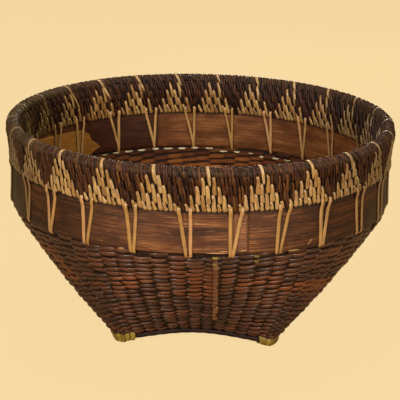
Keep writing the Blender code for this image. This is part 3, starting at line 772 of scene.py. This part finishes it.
wrap = {
    "outline": [(0.1566, 0.1455), (0.1570, 0.1540), (0.1575, 0.1620), (0.1584, 0.1677),
                (0.1589, 0.1715), (0.1585, 0.1748), (0.1570, 0.1770), (0.1546, 0.17785),
                (0.1522, 0.1770), (0.1507, 0.1748), (0.1502, 0.1715), (0.1489, 0.1672),
                (0.1481, 0.1620), (0.14825, 0.153), (0.1486, 0.1432)],
    "outerRows": [0.0352, 0.0270, 0.0199, 0.0127, 0.0056, 0.0],   # from the lower edge up to the crest
    "innerRows": [0.0360, 0.0290, 0.0218, 0.0146, 0.0074, 0.0],
    "paleWidth": 0.0030, "darkWidth": 0.0038, "innerShare": 0.94, "stitchDepth": 0.0014,
    "crestWidth": 0.0016, "crestDepth": 0.0010, "crestReach": 0.0080, "crestColumns": 30, "crestLean": 0.75,
    "crossingWidth": 0.0029, "crossingDepth": 0.0013,
    # how far the crossing strands go down inside, in degrees round the rim and metres
    "crossingDegrees": [178, 198, 212, 222, 236, 248, 262],
    "crossingInside": [0.009, 0.013, 0.019, 0.022, 0.028, 0.013, 0.009],
}
wrapLine = smoothPath(wrap["outline"], 600)
wrapReach = np.concatenate([[0], np.cumsum(np.linalg.norm(np.diff(wrapLine, axis=0), axis=1))])
wrapLength = wrapReach[-1]
crestPlace = wrapReach[np.argmax(wrapLine[:, 1])]
wrapTangent = unit(np.gradient(wrapLine, axis=0))


def onWrap(place, angle, stand):
    # a point over the rim's wrap, and its outward direction; place runs from outside to inside
    radius = np.interp(place, wrapReach, wrapLine[:, 0])
    height = np.interp(place, wrapReach, wrapLine[:, 1])
    right = np.interp(place, wrapReach, wrapTangent[:, 1])
    up = -np.interp(place, wrapReach, wrapTangent[:, 0])
    beyond = np.where(place < 0, place, np.where(place > wrapLength, wrapLength - place, 0))
    centre = polar(radius + right * stand, angle, height + up * stand + beyond)
    return centre, unit(polar(right, angle, up))


# a stitch starts narrow and proud, widens on its way down and ends blunt
stitchShape = {
    "f": np.array([0, 0.06, 0.16, 0.3, 0.5, 0.68, 0.82, 0.92, 1.0]),
    "width": np.array([0.5, 0.76, 0.84, 0.88, 0.98, 1.14, 1.26, 1.24, 0.84]),
    "depth": np.array([0.6, 0.95, 1.0, 1.0, 1.0, 1.0, 1.0, 0.95, 0.7]),
    "stand": np.array([-0.9, 0.3, 0.75, 0.75, 0.62, 0.5, 0.4, 0.15, -0.6]) * 0.001,
    "widthSpread": (0.88, 1.06),
    # how far a stitch leans, in columns; the outer ones lean most towards the right of the front
    "leanDegrees": [-180, -78, -55, -35, -15, 5, 22, 36, 50, 62, 80, 180],
    "lean": [0.4, 0.1, 0.35, 0.7, 0.85, 0.6, 0.6, 0.75, 1.1, 1.0, 0.5, 0.4], "innerLean": 0.85, "bend": 0.09,
}


def leanAt(angle):
    folded = (angle + pi) % (2 * pi) - pi
    return np.interp(np.degrees(folded), stitchShape["leanDegrees"], stitchShape["lean"])


def stitches(inside):
    # column and row of each stitch from the pattern's point, dark and pale
    dark, pale = [], []
    for repeat in range(basket["repeats"]):
        for column in range(-4, 6):
            for row in range(0 if inside else -1, 5):
                even = (row - column) % 2 == 0
                if even == inside or (not inside and row == 0 and column == 0):
                    continue
                if inside:
                    isPale = abs(column) <= row - 1 or (column == row + 1 and row in (1, 3))
                else:
                    isPale = row >= abs(column)
                (pale if isPale and row >= 0 else dark).append((repeat, column, row))
    return np.array(dark), np.array(pale)


def stitchStrands(entries, inside, width, toneRange, split):
    # the dark cane is finer: two strands lie side by side in each dark stitch
    repeat, column, row = np.repeat(entries, split, axis=0).T
    beside = np.tile((np.arange(split) - (split - 1) / 2) / split, len(entries))
    kept = [0, 1, 2, 3, 5, 7, 8] if split > 1 else list(range(9))
    rows = np.array(wrap["innerRows" if inside else "outerRows"])
    top = np.where(row < 0, rows[0] + 0.002, rows[np.maximum(row, 0)])
    bottom = rows[np.minimum(row + 2, 5)]
    count = len(repeat)
    uneven = rng.normal(0, 0.0005, count)
    top = top + rng.normal(0, 0.0003, count) + 0.0004
    bottom = bottom + np.where(bottom > 0.001, rng.normal(0, 0.0003, count) - 0.0002, 0.6 * uneven)
    f = stitchShape["f"][None, kept]
    place = top[:, None] + (bottom - top)[:, None] * f
    middle = basket["firstPoint"] + repeat * repeatAngle
    wobble = rng.normal(0, 0.07, count) + beside
    if inside:
        base = middle + stitchAngle - (column + wobble) * stitchAngle
        slant = stitchShape["innerLean"] * (f - 0.5) + 0.5 * (rows[0] - place) / rows[0]
        angle = base[:, None] - stitchAngle * slant
        place = wrapLength - place
    else:
        base = middle + (column + wobble) * stitchAngle
        lean = leanAt(base) + rng.normal(0, 0.08, count)
        slant = lean[:, None] * (f - 0.5) + stitchShape["bend"] * np.sin(f * 2 * pi)
        angle = base[:, None] + stitchAngle * slant
    stand = stitchShape["stand"][None, kept] + rng.normal(0, 0.0001, (count, 1))
    centres, outs = onWrap(place, angle, stand)
    widths = width / split * stitchShape["width"][None, kept]
    widths = widths * rng.uniform(*stitchShape["widthSpread"], (count, 1))
    depths = wrap["stitchDepth"] * stitchShape["depth"][None, kept]
    slimmer = np.where(row == 4, 0.84, 1) * np.interp(np.abs(np.sin(base)), [0.6, 0.95], [1, 0.8])
    widths = widths * slimmer[:, None]
    tones = rng.uniform(*toneRange, count)
    return centres, outs, widths, np.broadcast_to(depths, place.shape), tones


def layStitches(name, outer, inner, width, toneRange, innerTones, material, split=1):
    sets = [stitchStrands(outer, False, width, toneRange, split),
            stitchStrands(inner, True, width * wrap["innerShare"], innerTones, split)]
    joined = [np.concatenate(parts) for parts in zip(*sets)]
    return layStrands(name, *joined, material, sides=8 if split == 1 else 6)


def crestStrands():
    # fine strands laid over the crest and slightly aslant
    count = wrap["crestColumns"] * basket["repeats"]
    f = np.linspace(-1, 1, 11)
    base = (np.arange(count) + rng.normal(0, 0.14, count)) * repeatAngle / wrap["crestColumns"]
    angle = base[:, None] - f * stitchAngle * wrap["crestLean"]
    reach = wrap["crestReach"] * rng.uniform(0.85, 1.1, (count, 1))
    place = crestPlace + f * reach
    stand = 0.0002 + 0.0004 * f ** 2 - 0.0010 * np.abs(f) ** 6 + rng.normal(0, 0.00012, (count, 1))
    centres, outs = onWrap(place, angle, stand)
    widths = wrap["crestWidth"] * (1 - 0.4 * np.abs(f) ** 3) * rng.uniform(0.75, 1.1, (count, 1)) + 0 * angle
    return layStrands("crest_wrap", centres, outs, widths, wrap["crestDepth"],
                      rng.uniform(0, 0.9, count), crestCane())


def crossingStrands(material):
    # the top stitch of each triangle goes on over the crest and down the inside
    count = basket["repeats"]
    around = np.degrees(basket["firstPoint"] + np.arange(count) * repeatAngle)
    low = wrap["outerRows"][2]
    high = crestPlace + np.interp(around, wrap["crossingDegrees"], wrap["crossingInside"])[:, None]
    f = np.linspace(0, 1, 29)
    place = low + (high - low) * f
    past = (place - crestPlace) / 0.0085
    column = np.arange(count) * basket["stitchesPerRepeat"] + rng.normal(0, 0.12, count)
    base = basket["firstPoint"] + column * stitchAngle
    lean = leanAt(base)[:, None]
    angle = base[:, None] - stitchAngle * np.where(past < 0, lean * (place - wrap["outerRows"][1]) / 0.016,
                                                   lean * 0.5 + past * 1.1)
    stand = 0.0007 + 0.0001 * np.exp(-((place - crestPlace) / 0.007) ** 4)
    # both ends go in between the other stitches
    stand = stand - 0.0012 * np.clip(1 - f / 0.1, 0, 1) ** 1.5
    stand = stand - 0.0014 * np.clip((f - 0.88) / 0.12, 0, 1) ** 1.5
    centres, outs = onWrap(place, angle, stand)
    widths = wrap["crossingWidth"] * np.interp(f, [0, 0.08, 0.2, 0.6, 0.85, 1], [0.4, 0.8, 1, 1, 0.85, 0.5])
    side = np.sin(base)[:, None]
    widths = widths * rng.uniform(0.88, 1.05, (count, 1))
    widths = widths * np.interp(side, [-1, -0.6, 0.6, 1], [0.7, 0.9, 1, 0.75])
    return layStrands("crest_crossings", centres, outs, widths, wrap["crossingDepth"],
                      rng.uniform(0.3, 0.9, count), material)


def wrapBacking():
    # a dark sheet under the stitches, coloured as painted shade, that shows as small holes between them
    columns, sections = basket["repeats"] * basket["stitchesPerRepeat"], 40
    place = np.linspace(0.0008, wrapLength - 0.0008, sections)
    angle = np.arange(columns) * stitchAngle
    outside, outs = onWrap(place[None], angle[:, None], np.full((columns, sections), -0.0003))
    inside = outside - outs * 0.0005
    points = np.concatenate([outside, inside[:, ::-1]], 1)[:, ::-1]
    strand = np.zeros(points.shape)
    return skin("wrap_backing", points[None], strand[None], shadedStakes(), loopAlong=True)


def stitchedRim():
    pale, dark = splitCane("pale_split_cane"), darkStitchCane()
    outerDark, outerPale = stitches(False)
    innerDark, innerPale = stitches(True)
    dress(layStitches("pale_stitches", outerPale, innerPale, wrap["paleWidth"], (0.15, 1), (0, 0.5), pale),
          "pale_cane", "pale_stitching")
    dress(layStitches("dark_stitches", outerDark, innerDark, wrap["darkWidth"], (0, 1), (0, 0.7), dark, 2),
          "dark_cane", "dark_stitching")
    dress(crestStrands(), "dark_cane", "dark_stitching")
    dress(crossingStrands(pale), "pale_cane", "pale_stitching")
    dress(wrapBacking(), "dark_cane", "dark_stitching")
    rods = rodCane()
    for name in ("upper_rim_rod", "lower_rim_rod"):
        coatNode(name, rods)
    print("rim stitched:", len(outerDark) + len(outerPale) + len(innerDark) + len(innerPale), "stitches")


lashing = {
    "width": 0.0030, "innerShare": 0.86, "depth": 0.0015, "sections": 56,
    # left top, left bottom, right top and right bottom of each V, in degrees from its middle
    "outerLegs": {19: (-1.2, -2.0, 0.2, -1.6), 20: (1.8, 4.2, 5.2, 4.6), 21: (0.5, 1.6, 4.1, 2.1),
                  22: (-0.1, 0.6, 3.4, 1.7), 23: (-0.8, 0.7, 2.1, 1.6), 24: (-0.6, 1.5, 2.5, 2.7),
                  0: (-1.25, -1.05, 1.9, -0.25), 1: (-1.8, -2.4, 1.2, -1.3), 2: (-2.8, -2.75, 0.0, -1.9),
                  3: (-2.8, -1.9, 0.5, 0.4), 4: (-2.7, -2.3, 1.4, 0.4)},
    "innerLegs": {8: (4.7, 2.9, 1.8, 2.0), 9: (3.5, 1.3, 0.3, 1.1), 10: (2.9, 0.1, 0.4, 0.0),
                  11: (3.15, 0.4, 0.55, 0.4), 12: (3.3, 0.0, -0.05, -0.1), 13: (3.6, 0.1, -0.3, 0.1),
                  14: (3.1, -0.6, -0.4, -0.6), 15: (3.9, 2.9, 0.4, 1.6)},
    # radius and height along a leg, then 0 for its outer top, 1 and 2 at the wall and 3 for its inner top
    "path": [(0.1562, 0.1494, 0), (0.1572, 0.1479, 0), (0.1579, 0.1463, 0), (0.1577, 0.1440, 0.06),
             (0.15665, 0.1405, 0.16), (0.1566, 0.1330, 0.38), (0.1569, 0.1240, 0.66), (0.1573, 0.1150, 0.94),
             (0.1571, 0.1118, 1), (0.1560, 0.1106, 1), (0.1535, 0.1098, 1.5), (0.1510, 0.1085, 2),
             (0.1497, 0.1080, 2), (0.1492, 0.1100, 2), (0.1490, 0.1150, 2.1), (0.1488, 0.1250, 2.38),
             (0.1486, 0.1350, 2.68), (0.1483, 0.1415, 2.9), (0.1474, 0.1452, 3), (0.1472, 0.1472, 3),
             (0.1480, 0.1490, 3)],
    "overHoop": slice(12, 18),   # the points that move in where the tongue lies under them
}


def legAngles(index, outer):
    known = lashing["outerLegs" if outer else "innerLegs"].get(index)
    if known:
        return [radians(v) for v in known]
    lean = np.sin(index * 2.3 + 2 * outer)
    side = -1 if outer else 1
    return [radians(v) for v in (side * 1.8 + lean, side * 0.45, -side * 1.8 + lean, -side * 0.45)]


def lashingMiddle(index):
    return basket["firstLashing"] + index * repeatAngle


def lashingPlaces(index):
    # where the two legs of one lashing go in through the wall
    return lashingMiddle(index) + np.array(legAngles(index, True)[1::2])


def lashingLeg(index, leg):
    # from under the lowest stitches down the outer hoop, through the wall and up inside
    hoopRadius = 0.15
    middle = lashingMiddle(index)
    pastTip = (middle - tongue["tip"]) % (2 * pi)
    path = np.array(lashing["path"])
    if pastTip < tongue["span"] + 0.06 or pastTip > 2 * pi - 0.06:
        path[lashing["overHoop"], 0] -= tongue["proud"]
    outerTop, outerLow = legAngles(index, True)[2 * leg:2 * leg + 2]
    innerTop, innerLow = legAngles(index, False)[2 * leg:2 * leg + 2]
    angle = np.interp(path[:, 2], [0, 1, 2, 3], [outerTop, outerLow, innerLow, innerTop])
    path[:, 2] = angle * hoopRadius
    smooth = smoothPath(path, lashing["sections"])
    around = middle + smooth[:, 2] / hoopRadius
    centres = polar(smooth[:, 0], around, smooth[:, 1])
    flat = unit(np.gradient(smooth[:, :2], axis=0))
    outs = unit(polar(-flat[:, 1], around, flat[:, 0]))
    return centres, outs


def lashings():
    material = splitCane("lashing_split_cane")
    share = np.linspace(0, 1, lashing["sections"])
    # the legs flatten where they cross in the wall, and are slimmer inside
    squeeze = 1 - 0.3 * np.exp(-((share - 0.52) / 0.12) ** 2)
    slimmer = np.interp(share, [0.5, 0.62], [1, lashing["innerShare"]])
    for index in range(basket["repeats"]):
        legs = [lashingLeg(index, leg) for leg in (0, 1)]
        centres = np.array([centre for centre, _ in legs])
        outs = np.array([out for _, out in legs])
        widths = lashing["width"] * (squeeze * slimmer)[None] * rng.uniform(0.9, 1.08, (2, 1))
        piece = layStrands(f"cane_lashing_{index + 1:02d}", centres, outs, widths, lashing["depth"],
                           rng.uniform(0, 1, 2), material, corner=0.9)
        dress(piece, "lashing_cane", f"lashing_{index + 1:02d}")
    print("lashings tied")


binding = {
    "turns": 8, "width": 0.0042, "depth": 0.0011, "pitch": 0.0033, "slide": 0.012, "overFloor": 0.00002,
    # how far each climbs up its corner, in metres
    "climb": {"front_right": 0.0008, "back_right": 0.0012, "back_left": 0.0012, "front_left": 0.0050},
}


def cornerBindings():
    material = splitCane("yellow_green_splint")
    bend = basket["footCorner"] * pi / 4
    straight = 3 * (basket["footHalf"] - basket["footCorner"])
    lean = np.linspace(0, 2 * pi, 25)[:-1]
    for corner, (name, highest) in enumerate(binding["climb"].items()):
        centres, outs = [], []
        for loopIndex in range(binding["turns"]):
            along = (loopIndex - (binding["turns"] - 1) / 2) * binding["pitch"]
            reach = np.sign(along) * (min(abs(along) / bend, 1) / 6 + max(abs(along) - bend, 0) / straight)
            turn = (corner + 0.5 + reach + binding["slide"] * np.cos(lean)) / 4
            normal = unit(footOutline(turn, 0.0700) - footOutline(turn, 0.0560))
            # every second turn lies a little higher than its neighbours
            far = basket["borderRadius"] + basket["overBorder"] + binding["depth"] / 2
            far = far + 0.0002 * (loopIndex % 2)
            out = np.concatenate([normal * np.cos(lean)[:, None], np.sin(lean)[:, None]], 1)
            middle = footOutline(turn, basket["borderHalf"])
            centre = np.concatenate([middle, borderHeight(turn)[:, None]], 1) + out * far
            # each turn reaches up over the lowest rows, which lean outwards there
            climb = highest * np.interp(reach, [-0.2, 0, 0.2], [1, 0.7, 0.3])
            up = np.clip(np.sin(lean), 0, 1) * climb
            centre = centre + np.concatenate([normal * 1.05 * up[:, None], up[:, None]], 1)
            centre[:, 2] = np.maximum(centre[:, 2], binding["depth"] / 2 + binding["overFloor"])
            centres.append(centre)
            outs.append(out)
        piece = layStrands(name + "_splint_binding", np.array(centres), np.array(outs), binding["width"],
                           binding["depth"], rng.uniform(0, 1, binding["turns"]), material, loop=True)
        dress(piece, "yellow_green_splint", name + "_foot_binding")
    print("corners bound")


room = {
    "cream": "#F5D8A2", "floor": "#B89E74", "glow": 1.055, "glowShare": 0.93, "half": 6.0, "thick": 0.02,
    "fill": (1, 0.74, 0.44, 1), "fillStrength": 0.17,
}


def studio():
    far, thick = room["half"], room["thick"]
    corners = [(-far, -thick), (far, -thick), (far, 0), (-far, 0)]
    slab = np.array([[[(x, y, z) for x, z in corners] for y in (-far, far)]])
    material, tree = startMaterial("cream_floor")
    skin("studio_floor", slab, np.zeros(slab.shape), material)
    tree.nodes.clear()
    # the floor gives back less light than it shows, as a lit backdrop far behind would
    plain = addNode(tree, "ShaderNodeBsdfDiffuse", [room["floor"]])
    seen = addNode(tree, "ShaderNodeEmission", [room["cream"], room["glow"]])
    inView = addNode(tree, "ShaderNodeLightPath", output="Is Camera Ray")
    share = addNode(tree, "ShaderNodeMath", [inView, room["glowShare"]], operation="MULTIPLY")
    mixed = addNode(tree, "ShaderNodeMixShader", [share, plain, seen])
    addNode(tree, "ShaderNodeOutputMaterial", [mixed])
    world = bpy.data.worlds.new("pale_studio")
    bpy.context.scene.world = world
    world.use_nodes = True
    tree = world.node_tree
    tree.nodes.clear()
    fill = addNode(tree, "ShaderNodeBackground", [room["fill"], room["fillStrength"]])
    shown = addNode(tree, "ShaderNodeBackground", [room["cream"], 1.0])
    inView = addNode(tree, "ShaderNodeLightPath", output="Is Camera Ray")
    mixed = addNode(tree, "ShaderNodeMixShader", [inView, fill, shown])
    addNode(tree, "ShaderNodeOutputWorld", [mixed])
    print("studio set")


lighting = {
    "colour": (1, 0.94, 0.86), "aim": (0, 0, 0.1),
    # place and size in metres, and watts; the first two make the lashings' shadows fall inwards,
    # and the weak low one keeps the far side readable from behind
    "lamps": [("left_lamp", (-0.80, -1.15, 0.72), 0.30, 14.5),
              ("right_lamp", (0.80, -1.15, 0.72), 0.30, 13.5),
              ("top_lamp", (0.0, 0.0, 1.3), 0.8, 9), ("back_lamp", (0.2, 1.25, 0.45), 0.3, 4)],
}


def lamps():
    for name, place, size, watts in lighting["lamps"]:
        light = bpy.data.lights.new(name, "AREA")
        light.shape = "DISK"
        light.size = size
        light.energy = watts
        light.color = lighting["colour"]
        lamp = bpy.data.objects.new(name, light)
        bpy.context.scene.collection.objects.link(lamp)
        direction = np.array(lighting["aim"]) - np.array(place)
        lamp.rotation_euler = Vector(direction).to_track_quat("-Z", "Y").to_euler()
        lamp.location = place
    print("lamps hung")


# place in metres, turns in radians, lens in millimetres
view = {"place": (0.0179, -1.0646, 0.4472), "yaw": 0.0162, "pitch": -0.3116, "roll": -0.0192, "lens": 119.1}


def camera():
    eye = bpy.data.cameras.new("photo_view")
    eye.lens = view["lens"]
    eye.sensor_width = 36
    eye.clip_start = 0.01
    seat = bpy.data.objects.new("photo_view", eye)
    bpy.context.scene.collection.objects.link(seat)
    seat.matrix_world = (Matrix.Translation(view["place"]) @ Matrix.Rotation(view["yaw"], 4, "Z")
                         @ Matrix.Rotation(view["pitch"], 4, "X") @ Matrix.Rotation(view["roll"], 4, "Y")
                         @ Matrix.Rotation(pi / 2, 4, "X"))
    bpy.context.scene.camera = seat
    bpy.context.scene.view_settings.view_transform = "Standard"
    print("camera placed")


wovenWall()
footBorder()
plaitedFloor()
outerHoop()
hoopSlivers()
innerHoop()
stitchedRim()
lashings()
cornerBindings()
studio()
lamps()
camera()
